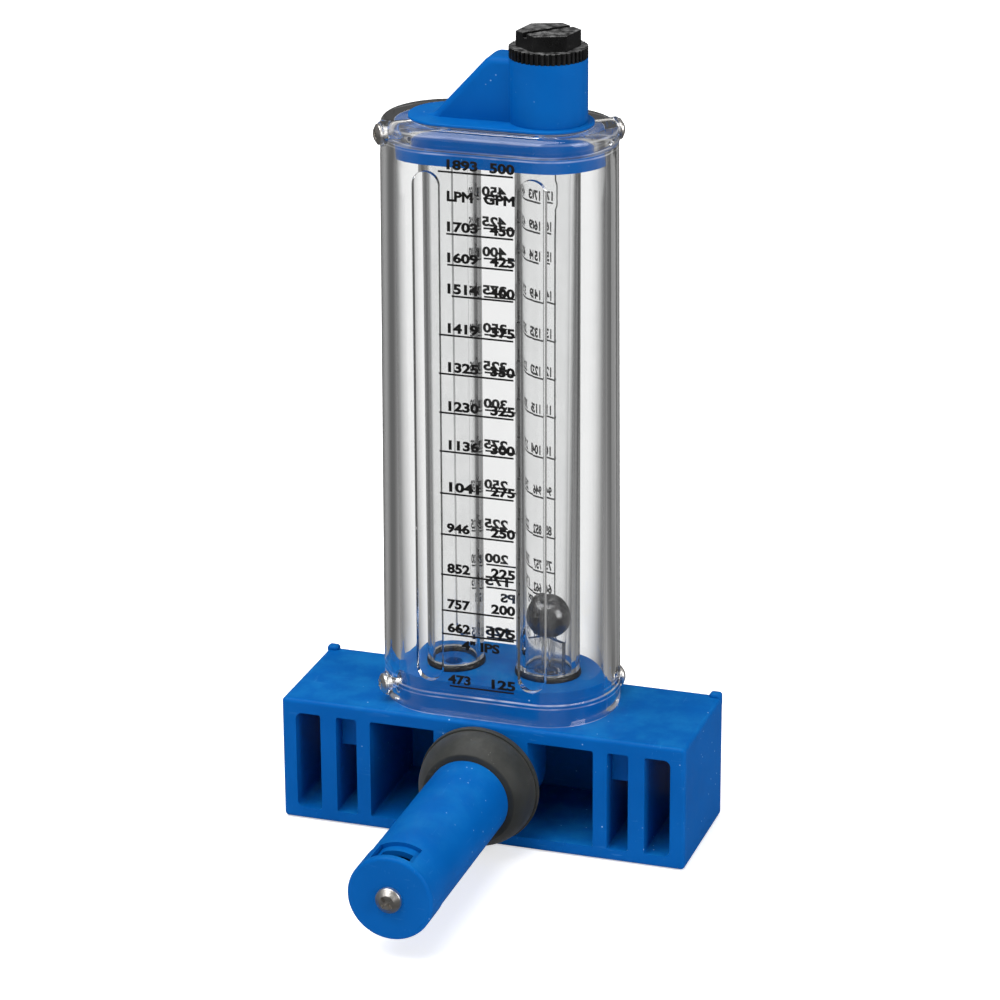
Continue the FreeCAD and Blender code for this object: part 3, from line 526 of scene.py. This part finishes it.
def studioRays(tree, place):
    # tells rays apart: how far on a bright panel, bent through clear plastic, bent or mirrored
    path = addNode(tree, "ShaderNodeLightPath")
    onPanel = panelMask(tree, place)
    through = path.outputs["Is Transmission Ray"]
    turnedBack = mathNode(tree, "MINIMUM", path.outputs["Glossy Depth"], 1.0)
    lost = mathNode(tree, "MULTIPLY", turnedBack, studio["turnedBackDim"])
    onPanel = mathNode(tree, "MULTIPLY", onPanel, mathNode(tree, "SUBTRACT", 1.0, lost))
    bent = mathNode(tree, "MAXIMUM", path.outputs["Is Glossy Ray"], through)
    return path, onPanel, through, bent


def buildFloor():
    shape = bmesh.new()
    bmesh.ops.create_circle(shape, cap_ends=True, segments=studio["floorSides"],
                            radius=studio["floorRadius"])
    mesh = bpy.data.meshes.new("floor")
    shape.to_mesh(mesh)
    shape.free()
    floor = bpy.data.objects.new("floor", mesh)
    bpy.context.scene.collection.objects.link(floor)
    low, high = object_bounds()
    floor.location.z = low.z - studio["floorBelow"]
    material = bpy.data.materials.new("floorPaper")
    material.use_nodes = True
    tree = material.node_tree
    shader = tree.nodes["Principled BSDF"]
    shader.inputs["Base Color"].default_value = (studio["floorColor"],) * 3 + (1.0,)
    shader.inputs["Roughness"].default_value = studio["floorRoughness"]
    shader.inputs["Specular IOR Level"].default_value = studio["floorSpecular"]
    shader.inputs["Emission Color"].default_value = (1.0, 1.0, 1.0, 1.0)
    place = addNode(tree, "ShaderNodeNewGeometry")
    path, onPanel, through, bent = studioRays(tree, place.outputs["Position"])
    # seen straight, the paper glows a little, and more the further it lies
    away = addNode(tree, "ShaderNodeVectorMath", operation="LENGTH")
    tree.links.new(place.outputs["Position"], away.inputs[0])
    plainGlow = rampNode(tree, away.outputs["Value"], *studio["glowRun"],
                         studio["glowNear"], studio["glowFar"])
    glow = mathNode(tree, "MULTIPLY", path.outputs["Is Camera Ray"], plainGlow)
    tree.links.new(glow, shader.inputs["Emission Strength"])
    # a mirrored ray meets a dark floor, and a bent one bright panels with dim gaps between them
    seenThrough = mixValue(tree, onPanel, studio["bentDark"], studio["bentFloor"])
    shade = mixValue(tree, through, studio["mirrorDark"], seenThrough)
    glowing = addNode(tree, "ShaderNodeEmission")
    tree.links.new(shade, glowing.inputs["Strength"])
    either = addNode(tree, "ShaderNodeMixShader")
    tree.links.new(bent, either.inputs[0])
    tree.links.new(shader.outputs[0], either.inputs[1])
    tree.links.new(glowing.outputs[0], either.inputs[2])
    tree.links.new(either.outputs[0], tree.nodes["Material Output"].inputs["Surface"])
    mesh.materials.append(material)


def buildWorld():
    world = bpy.data.worlds.new("studio")
    bpy.context.scene.world = world
    world.use_nodes = True
    tree = world.node_tree
    background = tree.nodes["Background"]
    place = addNode(tree, "ShaderNodeTexCoord")
    path, onPanel, through, bent = studioRays(tree, place.outputs["Generated"])
    seenThrough = mixValue(tree, onPanel, studio["bentDark"], studio["bentBright"])
    height = addNode(tree, "ShaderNodeSeparateXYZ")
    tree.links.new(place.outputs["Generated"], height.inputs["Vector"])
    above = rampNode(tree, height.outputs["Z"], *studio["aboveEdge"], 0.0, studio["bentAbove"])
    seenThrough = mathNode(tree, "MAXIMUM", seenThrough, above)
    shade = mixValue(tree, through, studio["mirrorDark"], seenThrough)
    light = mixValue(tree, bent, studio["worldLight"], shade)
    shown = mixValue(tree, path.outputs["Is Camera Ray"], light, 1.0)
    background.inputs["Color"].default_value = (1.0, 1.0, 1.0, 1.0)
    tree.links.new(shown, background.inputs["Strength"])


lamps = (  # name, place, target, width, height, power
    ("topSoftbox", (-0.25, -0.35, 1.25), (0, 0, 0.1), 1.1, 1.1, 17.5),
    ("frontFill", (-0.75, -1.25, 0.55), (0, 0, 0.1), 0.8, 1.0, 1.7),
    ("rightFill", (1.25, -0.45, 0.60), (0, 0, 0.1), 0.7, 0.9, 8.5),
)


def aimed(place, target, roll=0.0):
    gaze = (Vector(target) - Vector(place)).to_track_quat("-Z", "Y").to_matrix()
    return Matrix.LocRotScale(Vector(place), gaze @ Matrix.Rotation(roll, 3, "Z"), None)


def buildLamps():
    for name, place, target, width, height, power in lamps:
        data = bpy.data.lights.new(name, "AREA")
        data.shape = "RECTANGLE"
        data.size, data.size_y, data.energy = width, height, power
        lamp = bpy.data.objects.new(name, data)
        lamp.matrix_world = aimed(place, target)
        bpy.context.scene.collection.objects.link(lamp)


cameraSet = {
    "azimuth": 18.37, "elevation": 20.77, "roll": -0.32, "distance": 1.01706,
    "target": (-0.00031, 0.0, 0.0908), "lens": 139.796, "sensor": 36.0,
    "clipStart": 0.05, "clipEnd": 20.0,
}


def buildCamera():
    turn, rise = math.radians(cameraSet["azimuth"]), math.radians(cameraSet["elevation"])
    back = Vector((math.sin(turn) * math.cos(rise), -math.cos(turn) * math.cos(rise),
                   math.sin(rise)))
    target = Vector(cameraSet["target"])
    data = bpy.data.cameras.new("camera")
    data.lens, data.sensor_width = cameraSet["lens"], cameraSet["sensor"]
    data.clip_start, data.clip_end = cameraSet["clipStart"], cameraSet["clipEnd"]
    camera = bpy.data.objects.new("camera", data)
    camera.matrix_world = aimed(target + back * cameraSet["distance"], target,
                                math.radians(cameraSet["roll"]))
    bpy.context.scene.collection.objects.link(camera)
    bpy.context.scene.camera = camera


buildFloor()
buildWorld()
buildLamps()
buildCamera()
bpy.context.scene.view_settings.view_transform = "Standard"
print("studio ready")
